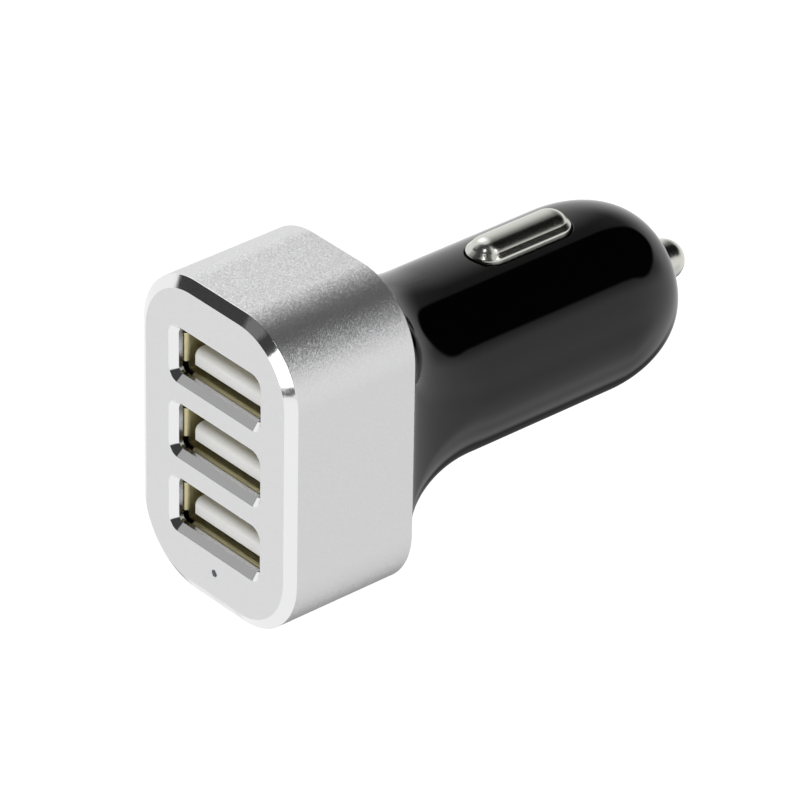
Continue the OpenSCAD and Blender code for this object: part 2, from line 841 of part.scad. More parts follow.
function coil_lift(turn) =
    let(
        length = pin_flange_y - seat_y - spring_wire,
        closed = 1.2 * spring_wire,
        pitch = (length - 2 * closed) / (spring_turns - 2)
    )
    turn < 1 ? closed * turn
    : turn > spring_turns - 1 ? length - closed * (spring_turns - turn)
    : closed + pitch * (turn - 1);
function wire_ring(turn) =
    let(
        coil_r = (spring_d - spring_wire) / 2,
        y = seat_y + spring_wire / 2 + coil_lift(turn)
    )
    [
        for (i = [0:wire_sides - 1])
            let(
                t = 360 * i / wire_sides,
                r = coil_r + spring_wire / 2 * cos(t)
            )
            [r * cos(360 * turn), y - spring_wire / 2 * sin(t), r * sin(360 * turn)]
    ];

// Spring seat behind the pin, with a tab soldered to the main board
module pin_terminal()
    color(nickel) {
        rod_y(terminal_r, terminal_y, seat_y);
        box_between([-terminal_tab_w / 2, terminal_y - terminal_tab_len, board_t / 2],
            [terminal_tab_w / 2, seat_y, board_t / 2 + terminal_t]);
    }

// Side contact: flange inside the barrel, and a shoe through the slot with a sloped shoulder and arched crown
module side_contact()
    color(nickel)
    translate([0, slot_mid, 0]) {
        straight = contact_half_l - contact_half_w;
        crest = [[0, crest_z]];
        half = contact_half_section();
        translate([0, 0, contact_flange_z])
            linear_extrude(contact_flange_t)
                obround(contact_flange_w, slot_len + 2 * contact_flange_over);
        extrude_y(-straight, straight)
            polygon(concat(crest, half, [for (i = [len(half) - 1:-1:0]) [-half[i][0], half[i][1]]]));
        for (s = [0, 1])
            mirror([0, s, 0])
                translate([0, straight, 0])
                    rotate_extrude(angle = 180)
                        polygon(concat(crest, half, [[0, contact_foot_z]]));
    }

// Points of an arc after its first one: the slope is 0 at the arc's top and 90 at its side
function arc_down(middle, r, from, to) =
    let(steps = ceil((to - from) / arc_turn))
    [
        for (i = [1:steps])
            let(t = from + (to - from) * i / steps)
            middle + r * [sin(t), cos(t)]
    ];

// Right half of a contact's section after its crest: crown, shoulder, rim, and the wall down to the flange
function contact_half_section() = concat(
    arc_down(crown_top, crown_top_r, 0, crown_turn),
    arc_down(crown_side, crown_side_r, crown_turn, crown_foot_slope),
    [rim_edge],
    arc_down(rim_middle, contact_rim_r, shoulder_slope, 90),
    [[contact_half_w, contact_foot_z]]
);

module side_contact_top()
    side_contact();

module side_contact_bottom()
    mirror([0, 0, 1])
        side_contact();

// Bent leaf that stands on the main board and pushes a side contact outwards
module leaf_spring()
    color(nickel)
    strip_at(0, leaf_path(), leaf_t, leaf_w);

function leaf_path() =
    let(
        z0 = (board_t + leaf_t) / 2,
        z1 = contact_flange_z - leaf_t / 2,
        y0 = slot_mid - leaf_reach
    )
    [
        [y0 - leaf_foot_len, z0],
        for (i = [0:arc_steps])
            let(s = i / arc_steps)
            [y0 + leaf_reach * s, z0 + (z1 - z0) * (1 - cos(180 * s)) / 2],
        [slot_mid + leaf_curl, z1 - leaf_curl / 4],
        [slot_mid + 2 * leaf_curl, z1 - leaf_curl]
    ];

module contact_spring_top()
    leaf_spring();

module contact_spring_bottom()
    mirror([0, 0, 1])
        leaf_spring();

front_shroud();
housing();
usb_shell(1);  // usb_shell_1
usb_shell(2);  // usb_shell_2
usb_shell(3);  // usb_shell_3
usb_insulator(1);  // usb_insulator_1
usb_insulator(2);  // usb_insulator_2
usb_insulator(3);  // usb_insulator_3
usb_contacts(1);  // usb_contacts_1
usb_contacts(2);  // usb_contacts_2
usb_contacts(3);  // usb_contacts_3
port_board();
main_board();
power_inductor();
input_capacitor();
output_capacitor();
regulator_chip();
flyback_diode();
input_fuse();
status_led();
light_guide();
centre_pin();
pin_spring();
pin_terminal();
side_contact_top();
side_contact_bottom();
contact_spring_top();
contact_spring_bottom();
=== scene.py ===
import math
import bpy
import bmesh
import numpy as np
from mathutils import Matrix, Vector
from mathutils.geometry import tessellate_polygon


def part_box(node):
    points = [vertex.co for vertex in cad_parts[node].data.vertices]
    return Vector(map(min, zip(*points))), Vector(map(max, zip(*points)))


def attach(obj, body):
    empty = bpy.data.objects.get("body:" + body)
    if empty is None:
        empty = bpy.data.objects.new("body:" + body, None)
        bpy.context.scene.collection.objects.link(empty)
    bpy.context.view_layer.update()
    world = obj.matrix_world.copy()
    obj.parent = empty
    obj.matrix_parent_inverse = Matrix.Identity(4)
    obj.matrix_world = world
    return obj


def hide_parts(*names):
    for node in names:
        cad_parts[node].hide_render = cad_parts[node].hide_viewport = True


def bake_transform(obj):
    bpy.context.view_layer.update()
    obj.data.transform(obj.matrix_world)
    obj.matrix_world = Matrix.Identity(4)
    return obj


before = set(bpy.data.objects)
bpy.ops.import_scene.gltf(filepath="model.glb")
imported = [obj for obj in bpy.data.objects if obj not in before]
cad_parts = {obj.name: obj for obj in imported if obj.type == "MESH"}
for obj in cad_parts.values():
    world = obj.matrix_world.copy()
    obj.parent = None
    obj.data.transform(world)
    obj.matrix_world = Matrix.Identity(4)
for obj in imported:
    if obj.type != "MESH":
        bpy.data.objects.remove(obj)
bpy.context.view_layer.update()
mm = 0.001  # all sizes below are in millimetres
print("frame loaded")


def boxMm(node):
    # lowest and highest corner of a CAD node
    lo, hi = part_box(node)
    return [v / mm for v in lo], [v / mm for v in hi]


def hexColour(code):
    # sRGB hex to the linear colour that Blender's sockets take
    parts = [int(code[i:i + 2], 16) / 255 for i in (1, 3, 5)]
    linear = [p / 12.92 if p <= 0.04045 else ((p + 0.055) / 1.055) ** 2.4 for p in parts]
    return (*linear, 1)


def addNode(tree, kind, values=None):
    # values name a property or an input; an input takes a value, or the output that feeds it
    node = tree.nodes.new("ShaderNode" + kind)
    for name, value in (values or {}).items():
        if isinstance(value, bpy.types.NodeSocket):
            tree.links.new(value, node.inputs[name])
        elif isinstance(name, int) or name in node.inputs:
            node.inputs[name].default_value = value
        else:
            setattr(node, name, value)
    return node


class Skin:
    # points and faces of one piece; equal points are shared, and a point may state its own normal
    def __init__(self):
        self.points, self.normals, self.known = [], [], {}
        self.faces, self.faceFinish, self.finish = [], [], 0

    def point(self, place, normal=None):
        key = tuple(round(v, 4) for v in place)
        if key not in self.known:
            self.known[key] = len(self.points)
            self.points.append([float(v) for v in place])
            self.normals.append(None if normal is None else [float(v) for v in normal])
        return self.known[key]

    def ring(self, places, normals=None):
        return [self.point(p, None if normals is None else normals[i]) for i, p in enumerate(places)]

    def face(self, corners):
        kept = [c for i, c in enumerate(corners) if c != corners[i - 1]]
        if len(set(kept)) > 2:
            self.faces.append(kept)
            self.faceFinish.append(self.finish)

    def bridge(self, a, b):
        for i in range(len(a)):
            self.face([a[i - 1], a[i], b[i], b[i - 1]])

    def plate(self, rings):
        # flat face between an outer ring and the rings of its holes, all in one plane across Y
        loops = [[Vector((self.points[i][0], self.points[i][2], 0)) for i in r] for r in rings]
        flat = [i for r in rings for i in r]
        for tri in tessellate_polygon(loops):
            self.face([flat[i] for i in tri])

    def build(self, name, materials, body, nodes):
        mesh = bpy.data.meshes.new(name)
        mesh.from_pydata([[v * mm for v in p] for p in self.points], [], self.faces)
        for material in materials:
            mesh.materials.append(bpy.data.materials[material])
        mesh.polygons.foreach_set("material_index", self.faceFinish)
        shape = bmesh.new()
        shape.from_mesh(mesh)
        bmesh.ops.recalc_face_normals(shape, faces=shape.faces)
        shape.to_mesh(mesh)
        shape.free()
        mesh.polygons.foreach_set("use_smooth", [True] * len(mesh.polygons))
        # a point without a stated normal takes the mean of its faces
        mean = np.zeros((len(mesh.vertices), 3))
        for face in mesh.polygons:
            for i in face.vertices:
                mean[i] += np.array(face.normal) * face.area
        for i, own in enumerate(self.normals):
            if own is not None:
                mean[i] = own if np.dot(own, mean[i]) >= 0 else [-v for v in own]
        mean /= np.maximum(np.linalg.norm(mean, axis=1, keepdims=True), 1e-12)
        mesh.normals_split_custom_set_from_vertices(mean.tolist())
        piece = bpy.data.objects.new(name, mesh)
        bpy.context.collection.objects.link(piece)
        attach(piece, body)
        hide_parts(*nodes)


def outline(halfX, halfZ, radius, steps, spans):
    # rounded rectangle: places and outward directions, corner by corner, with spans on each straight side
    places, outward = [], []
    corners = [(1, 1), (-1, 1), (-1, -1), (1, -1)]

    def onCorner(sx, sz, turn):
        return (sx * (halfX - radius) + radius * math.cos(turn),
                sz * (halfZ - radius) + radius * math.sin(turn))

    for q, corner in enumerate(corners):
        for i in range(steps + 1):
            turn = math.radians(90 * (q + i / steps))
            outward.append((math.cos(turn), math.sin(turn)))
            places.append(onCorner(*corner, turn))
        start, end = np.array(places[-1]), np.array(onCorner(*corners[(q + 1) % 4], turn))
        for i in range(1, spans):
            places.append(tuple(start * (1 - i / spans) + end * i / spans))
            outward.append((math.cos(turn), math.sin(turn)))
    return np.array(places), np.array(outward)


def roundedProfile(points, steps=4):
    # each point is (a, b, radius of its corner, finish of the span that follows)
    # gives (a, b, normal a, normal b, finish) along the rounded line
    line = []
    flat = [np.array(p[:2], float) for p in points]
    for i, p in enumerate(flat):
        finish = points[i][3] if len(points[i]) > 3 else 0
        if i in (0, len(flat) - 1):
            ahead = p - flat[i - 1] if i else flat[1] - p
            ahead = ahead / np.linalg.norm(ahead)
            line.append((*p, ahead[1], -ahead[0], finish))
            continue
        u, w = flat[i - 1] - p, flat[i + 1] - p
        u, w = u / np.linalg.norm(u), w / np.linalg.norm(w)
        half = math.acos(np.clip(np.dot(u, w), -1, 1)) / 2
        radius = points[i][2]
        middle = p + (u + w) / np.linalg.norm(u + w) * radius / math.sin(half)
        start = p + u * radius / math.tan(half) - middle
        turn = math.pi - 2 * half
        if u[0] * w[1] - u[1] * w[0] >= 0:
            turn = -turn
        facing = 1 if np.dot((-u[1], u[0]), start) > 0 else -1
        for k in range(steps + 1):
            angle = turn * k / steps
            arm = np.array((start[0] * math.cos(angle) - start[1] * math.sin(angle),
                            start[0] * math.sin(angle) + start[1] * math.cos(angle)))
            own = max(finish, line[-1][4]) if k < steps else finish
            line.append((*(middle + arm), *(facing * arm / radius), own))
    return line


def insetLoft(skin, halfX, halfZ, radius, profile, steps, spans, shift=(0, 0)):
    # rings of a rounded rectangle that is drawn in by a at y = b, with the profile's own normals
    sharpest = 0.01
    rings = []
    for k, (inset, y, na, nb, _) in enumerate(profile):
        flat, out = outline(halfX - inset, halfZ - inset, max(radius - inset, sharpest), steps, spans)
        places = [(x + shift[0], y, z + shift[1]) for x, z in flat]
        rings.append(skin.ring(places, [(-na * ox, nb, -na * oz) for ox, oz in out]))
        if k:
            skin.finish = profile[k - 1][4]
            skin.bridge(rings[-2], rings[-1])
    skin.finish = 0
    return rings


def circle(skin, radius, y, count, normal=None, centre=(0, 0)):
    # normal is (outward, along Y)
    turns = [(math.cos(t), math.sin(t)) for t in (2 * math.pi * k / count for k in range(count))]
    places = [(centre[0] + radius * c, y, centre[1] + radius * s) for c, s in turns]
    normals = None if normal is None else [(normal[0] * c, normal[1], normal[0] * s) for c, s in turns]
    return skin.ring(places, normals)


print("helpers ready")


def startMaterial(name):
    # empty node tree of a new material
    material = bpy.data.materials.new(name)
    material.use_nodes = True
    material.node_tree.nodes.clear()
    return material.node_tree


def finishMaterial(tree, values):
    shader = addNode(tree, "BsdfPrincipled", values)
    addNode(tree, "OutputMaterial", {"Surface": shader.outputs[0]})


def grain(tree, size, detail=2, stretch=(1, 1, 1)):
    # noise whose grains are size millimetres across, in the piece's own space
    where = addNode(tree, "TexCoord")
    scaled = addNode(tree, "Mapping", {"Scale": stretch, "Vector": where.outputs["Object"]})
    return addNode(tree, "TexNoise", {"Scale": 1 / (size * mm), "Detail": detail,
                                      "Vector": scaled.outputs[0]})


# aluminium, bead blasted and clear anodised: satin, and its dimples sparkle where it turns from the light
# real dimples are finer than a pixel, so they are drawn coarser, each as a small facet with its own tilt
aluminiumLook = {"colour": "#DEDEDF", "smoothest": 0.36, "roughest": 0.5, "dimple": 0.1, "tilt": 0.2}


def blastedAluminium():
    look = aluminiumLook
    tree = startMaterial("blastedAluminium")
    where = addNode(tree, "TexCoord")
    dimples = addNode(tree, "TexVoronoi", {"Scale": 1 / (look["dimple"] * mm),
                                           "Vector": where.outputs["Object"]})
    rough = addNode(tree, "MapRange", {"To Min": look["smoothest"], "To Max": look["roughest"],
                                       "Value": dimples.outputs["Color"]})
    lean = addNode(tree, "VectorMath", {"operation": "SUBTRACT", 0: dimples.outputs["Color"],
                                        1: (0.5, 0.5, 0.5)})
    skin = addNode(tree, "NewGeometry")
    tilted = addNode(tree, "VectorMath", {"operation": "MULTIPLY_ADD", 0: lean.outputs[0],
                                          1: (look["tilt"],) * 3, 2: skin.outputs["Normal"]})
    facet = addNode(tree, "VectorMath", {"operation": "NORMALIZE", 0: tilted.outputs[0]})
    finishMaterial(tree, {"Base Color": hexColour(look["colour"]), "Metallic": 1,
                          "Roughness": rough.outputs[0], "Normal": facet.outputs[0]})


# aluminium, diamond cut through the anodising: nearly a mirror, a little wavy, with faint marks of the cut
# real marks are finer than a pixel, so they are drawn wider
cutLook = {"colour": "#EBEBEC", "smoothest": 0.03, "roughest": 0.15, "mark": 0.14, "stretch": (1, 0.15, 0.4),
           "markDepth": 0.3, "markRelief": 0.01, "wave": 2.2, "waveDepth": 0.36, "waveRelief": 0.1}


def cutAluminium():
    look = cutLook
    tree = startMaterial("cutAluminium")
    marks = grain(tree, look["mark"], 2, look["stretch"])
    rough = addNode(tree, "MapRange", {"To Min": look["smoothest"], "To Max": look["roughest"],
                                       "Value": marks.outputs[0]})
    waves = grain(tree, look["wave"])
    slow = addNode(tree, "Bump", {"Strength": look["waveDepth"], "Distance": look["waveRelief"] * mm,
                                  "Height": waves.outputs[0]})
    bump = addNode(tree, "Bump", {"Strength": look["markDepth"], "Distance": look["markRelief"] * mm,
                                  "Height": marks.outputs[0], "Normal": slow.outputs[0]})
    finishMaterial(tree, {"Base Color": hexColour(look["colour"]), "Metallic": 1,
                          "Roughness": rough.outputs[0], "Normal": bump.outputs[0]})


# ABS, moulded in a polished tool: a black so glossy that it shows the studio, over faint waves of flow
plasticLook = {"colour": "#030303", "smoothest": 0.04, "roughest": 0.07, "ior": 1.42, "wave": 6,
               "waveDepth": 0.06, "waveRelief": 0.02}


def glossAbs():
    look = plasticLook
    tree = startMaterial("glossAbs")
    waves = grain(tree, look["wave"], 1)
    rough = addNode(tree, "MapRange", {"To Min": look["smoothest"], "To Max": look["roughest"],
                                       "Value": waves.outputs[0]})
    bump = addNode(tree, "Bump", {"Strength": look["waveDepth"], "Distance": look["waveRelief"] * mm,
                                  "Height": waves.outputs[0]})
    finishMaterial(tree, {"Base Color": hexColour(look["colour"]), "IOR": look["ior"],
                          "Roughness": rough.outputs[0], "Normal": bump.outputs[0]})


# bare and plated metals: real grains are finer than a pixel, so they are drawn coarser, size mm across
metalLooks = {
    # bright nickel over brass, barrelled: warm and nearly a mirror, with soft pits
    "nickelPlate": {"colour": "#CFCFC8", "roughness": 0.21, "size": 0.13, "depth": 0.5},
    # aluminium milled inside the port mouths: satin, with fine marks
    "milledAluminium": {"colour": "#D9D9DA", "roughness": 0.24, "size": 0.12, "depth": 0.3},
    # nickel over stamped steel: olive in the shade of the port, with faint lines of rolling along X
    "nickelSheet": {"colour": "#D0C8A0", "roughness": 0.4, "size": 0.2, "depth": 0.15,
                    "stretch": (0.1, 1, 1)},
    # gold flash over phosphor bronze: yellow and bright
    "giltBronze": {"colour": "#D8B45C", "roughness": 0.2, "size": 0.2, "depth": 0.1},
    # spring steel, drawn and tempered: grey and bright
    "springSteel": {"colour": "#B9B9BC", "roughness": 0.22, "size": 0.15, "depth": 0.1},
    # aluminium can, impact extruded: satin
    "canAluminium": {"colour": "#D2D2D6", "roughness": 0.3, "size": 0.15, "depth": 0.15}}
metalSpread = {"smoothest": 0.7, "roughest": 1.4, "relief": 0.01}


def grainedMetal(name, colour, roughness, size, depth, stretch=(1, 1, 1)):
    tree = startMaterial(name)
    grains = grain(tree, size, 3, stretch)
    rough = addNode(tree, "MapRange", {"To Min": roughness * metalSpread["smoothest"],
                                       "To Max": roughness * metalSpread["roughest"],
                                       "Value": grains.outputs[0]})
    bump = addNode(tree, "Bump", {"Strength": depth, "Distance": metalSpread["relief"] * mm,
                                  "Height": grains.outputs[0]})
    finishMaterial(tree, {"Base Color": hexColour(colour), "Metallic": 1,
                          "Roughness": rough.outputs[0], "Normal": bump.outputs[0]})


# moulded and fired parts, each with a faint mottle of size mm between two colours
mouldedLooks = {
    # nylon, moulded: white and softly satin
    "whiteNylon": {"colour": "#F4F4F2", "darker": "#EEEEEB", "roughness": 0.42, "size": 0.5, "depth": 0.05},
    # glass epoxy under green solder mask: satin green with the weave's mottle
    "maskedLaminate": {"colour": "#1C5A34", "darker": "#174C2B", "roughness": 0.35, "size": 0.4,
                       "depth": 0.1},
    # ferrite, pressed and fired: dark grey and dull
    "firedFerrite": {"colour": "#3C3C40", "darker": "#303034", "roughness": 0.7, "size": 0.15, "depth": 0.2},
    # epoxy, transfer moulded: black and dull
    "mouldedEpoxy": {"colour": "#1B1B1D", "darker": "#151517", "roughness": 0.6, "size": 0.12, "depth": 0.2},
    # alumina, glazed: white with a soft shine
    "glazedCeramic": {"colour": "#E9E7E0", "darker": "#DEDCD4", "roughness": 0.3, "size": 0.3, "depth": 0.05},
    # silicone lens: milky yellow
    "siliconeLens": {"colour": "#F0EBC8", "darker": "#E6DFB4", "roughness": 0.3, "size": 0.3, "depth": 0.05},
    # acrylic, moulded: clear and slightly milky
    "clearAcrylic": {"colour": "#E4E9EB", "darker": "#D8DEE0", "roughness": 0.15, "size": 0.5, "depth": 0.03,
                     "ior": 1.49, "clear": 0.6}}
mouldedRelief = 0.02


def mouldedPart(name, colour, darker, roughness, size, depth, ior=1.5, clear=0):
    tree = startMaterial(name)
    mottle = grain(tree, size)
    mixed = addNode(tree, "Mix", {"data_type": "RGBA", 0: mottle.outputs[0], 6: hexColour(colour),
                                  7: hexColour(darker)})
    bump = addNode(tree, "Bump", {"Strength": depth, "Distance": mouldedRelief * mm,
                                  "Height": mottle.outputs[0]})
    finishMaterial(tree, {"Base Color": mixed.outputs[2], "Roughness": roughness, "IOR": ior,
                          "Transmission Weight": clear, "Normal": bump.outputs[0]})


blastedAluminium()
cutAluminium()
glossAbs()
for name, look in metalLooks.items():
    grainedMetal(name, **look)
for name, look in mouldedLooks.items():
    mouldedPart(name, **look)
print("materials ready")

# shroud: bead-blasted aluminium with diamond-cut bevels round the face and the ports
shroudBuild = {"bevelWidth": 1.25, "bevelDepth": 0.75, "cornerRadius": 8.4, "wall": 1.2, "plate": 1.3,
               "edge": 0.06, "rearEdge": 0.12, "innerCorner": 0.3, "faceBorder": 0.3, "plateBorder": 2,
               "cornerSteps": 30, "sideSpans": 4}
portBuild = {"socketWidth": 12.5, "socketHeight": 5.12, "clearSide": 0.325, "clearLip": 0.04, "radius": 0.7,
             "bevel": 0.75, "edge": 0.05, "border": 0.2, "steps": 10, "sideSpans": 2}
pinholeBuild = {"diameter": 0.75, "fromEnd": 4.05, "edge": 0.09, "sides": 32}

shroudLo, shroudHi = boxMm("front_shroud")
faceY, rearY = shroudLo[1], shroudHi[1]
plateY = faceY + shroudBuild["plate"]
halfFaceX, halfFaceZ = shroudHi[0], shroudHi[2]
portHeights = []
for k in (1, 2, 3):
    lo, hi = boxMm(f"usb_shell_{k}")
    portHeights.append((lo[2] + hi[2]) / 2)


def makeShroud():
    b, p, h = shroudBuild, portBuild, pinholeBuild
    skin = Skin()
    # from inside the plate along the inner wall, round the rear rim, forward, and over the bevel to the face
    profile = roundedProfile([
        (b["wall"] + b["plateBorder"], plateY, 0), (b["wall"], plateY, b["innerCorner"]),
        (b["wall"], rearY, b["rearEdge"]), (0, rearY, b["rearEdge"]),
        (0, faceY + b["bevelDepth"], b["edge"], 1), (b["bevelWidth"], faceY, b["edge"]),
        (b["bevelWidth"] + b["faceBorder"], faceY, 0)])
    rings = insetLoft(skin, halfFaceX, halfFaceZ, b["cornerRadius"], profile, b["cornerSteps"],
                      b["sideSpans"])
    front, back = [rings[-1]], [rings[0]]
    halfX = p["socketWidth"] / 2 + p["clearSide"]
    halfZ = p["socketHeight"] / 2 + p["clearLip"]
    mouth = roundedProfile([
        (-p["bevel"] - p["border"], faceY, 0), (-p["bevel"], faceY, p["edge"], 1),
        (0, faceY + p["bevel"], p["edge"], 2), (0, plateY, p["edge"]), (-p["border"], plateY, 0)])
    for z in portHeights:
        sides = insetLoft(skin, halfX, halfZ, p["radius"], mouth, p["steps"], p["sideSpans"], (0, z))
        front.append(sides[0])
        back.append(sides[-1])
    middle = (0, -halfFaceZ + h["fromEnd"])
    r, e = h["diameter"] / 2, h["edge"]
    hole = [circle(skin, r + e, faceY, h["sides"], (0, -1), middle),
            circle(skin, r, faceY + e, h["sides"], (-1, 0), middle),
            circle(skin, r, plateY, h["sides"], (-1, 0), middle)]
    skin.bridge(hole[0], hole[1])
    skin.bridge(hole[1], hole[2])
    front.append(hole[0])
    back.append(hole[2])
    skin.plate(front)
    skin.plate(back)
    # finishes 0, 1 and 2 of the profiles above
    metals = ["blastedAluminium", "cutAluminium", "milledAluminium"]
    skin.build("shroud", metals, "body", ["front_shroud"])


makeShroud()
print("shroud ready")

# housing: one glossy moulding from the collar inside the shroud to the nose
housingBuild = {
    "collarWall": 1.2, "collarGap": 0.1, "collarEdge": 0.15, "ledge": 1.3, "ledgeWidth": 0.8,
    "ledgeEdge": 0.1, "seatEdge": 0.05, "flange": 0.25, "flangeInset": 0.32, "flangeBorder": 0.3,
    "edge": 0.08, "barrelRadius": 10.3, "wall": 1.4, "noseEndRadius": 4.65, "noseLength": 10, "noseWall": 2,
    "sleeveLength": 8.6, "sleeveRadius": 3.45, "sleeveEdge": 0.1, "boreRadius": 2.35, "boreEdge": 0.15,
    "rootEdge": 0.05, "quarterSteps": 36, "sideSpans": 4, "neckRings": 40, "noseRings": 40,
    "innerNoseRings": 12, "cavityFrom": 24, "cavityRings": 18, "cavityShift": 1}
railBuild = {"inner": 7, "outer": 9.1, "low": 0.7, "thickness": 1, "end": 16}
slotBuild = {"width": 5, "length": 13.4, "start": 5.45, "edge": 0.14, "edgeSteps": 4, "columns": 8,
             "margin": 0.75, "rows": 34, "rings": 4}

housingLo, housingHi = boxMm("housing")
noseY = housingHi[1]
barrelEndY = noseY - housingBuild["noseLength"]
collarY = housingLo[1]
barrelR = housingBuild["barrelRadius"]
boreR = barrelR - housingBuild["wall"]
slotMid = slotBuild["start"] + slotBuild["length"] / 2
barrelCount = 4 * housingBuild["quarterSteps"]


def neckSize(start, end, turn):
    # from start at no turn to end at a right angle, along a quarter wave
    return end + (start - end) * (1 - math.sin(turn))


def nearestOnSlot(x, y, halfWidth):
    # nearest point of the slot's outline, and the direction away from the slot
    straight = (slotBuild["length"] - slotBuild["width"]) / 2
    along = min(max(y - slotMid, -straight), straight)
    away = np.array((x, y - slotMid - along))
    away = away / np.linalg.norm(away)
    return np.array((0, slotMid + along)) + away * halfWidth, away


def slotPatch(skin, radius, side, rows, inner):
    # skin between the barrel's grid and the slot; gives the ring at the slot's outline
    s = slotBuild
    middle = housingBuild["quarterSteps"] * (1 if side > 0 else 3)
    columns = [middle + k for k in range(-s["columns"], s["columns"] + 1)]

    def onBarrel(k, y):
        return radius * math.cos(2 * math.pi * k / barrelCount), y

    border = [onBarrel(k, rows[0]) for k in columns]
    border += [onBarrel(columns[-1], y) for y in rows[1:]]
    border += [onBarrel(k, rows[-1]) for k in columns[-2::-1]]
    border += [onBarrel(columns[0], y) for y in rows[-2:0:-1]]

    def place(x, y):
        z = math.sqrt(radius ** 2 - x ** 2)
        return (x, y, side * z), (x / radius, 0, side * z / radius)

    edge = 0 if inner else s["edge"]
    half = s["width"] / 2
    ring = skin.ring(*zip(*[place(x, y) for x, y in border]))
    for j in range(1, s["rings"] + 1):
        share = j / s["rings"]
        spots = []
        for x, y in border:
            target, _ = nearestOnSlot(x, y, half + edge)
            spots.append(place(*(np.array((x, y)) * (1 - share) + target * share)))
        following = skin.ring(*zip(*spots))
        skin.bridge(ring, following)
        ring = following
    if inner:
        return ring
    # rounded edge of the slot
    for j in range(1, s["edgeSteps"] + 1):
        turn = math.radians(90 * j / s["edgeSteps"])
        across, up = math.sin(turn), math.cos(turn)
        places, normals = [], []
        for x, y in border:
            start, away = nearestOnSlot(x, y, half + edge)
            z = math.sqrt(radius ** 2 - start[0] ** 2)
            spot = start - away * edge * across
            places.append((spot[0], spot[1], side * (z - edge * (1 - up))))
            normals.append((-away[0] * across + up * start[0] / radius, -away[1] * across,
                            side * up * z / radius))
        following = skin.ring(places, normals)
        skin.bridge(ring, following)
        ring = following
    return ring


def barrelSkin(skin, radius, rows, slotRows, outward):
    # grid of the round barrel with a window left open for each slot
    close = 1e-6
    rings = [circle(skin, radius, y, barrelCount, (outward, 0)) for y in rows]
    window = set()
    for side in (1, 3):  # a quarter and three quarters of the way round
        first = housingBuild["quarterSteps"] * side - slotBuild["columns"] + 1
        window |= {k % barrelCount for k in range(first, first + 2 * slotBuild["columns"])}
    for j in range(1, len(rings)):
        inWindow = slotRows[0] - close <= rows[j - 1] and rows[j] <= slotRows[-1] + close
        a, b = rings[j - 1], rings[j]
        for i in range(barrelCount):
            if not (inWindow and i in window):
                skin.face([a[i - 1], a[i], b[i], b[i - 1]])


def makeRails(skin):
    # rails that hold the main board by its edges, sunk in the barrel's wall
    rail = railBuild
    for sx in (-1, 1):
        for low in (rail["low"], -rail["low"] - rail["thickness"]):
            high = low + rail["thickness"]
            square = [(rail["inner"], low), (rail["outer"], low),
                      (rail["outer"], high), (rail["inner"], high)]
            ends = [[skin.point((sx * x, y, z)) for x, z in square] for y in (0, rail["end"])]
            skin.bridge(*ends)
            for end in ends:
                skin.face(end)


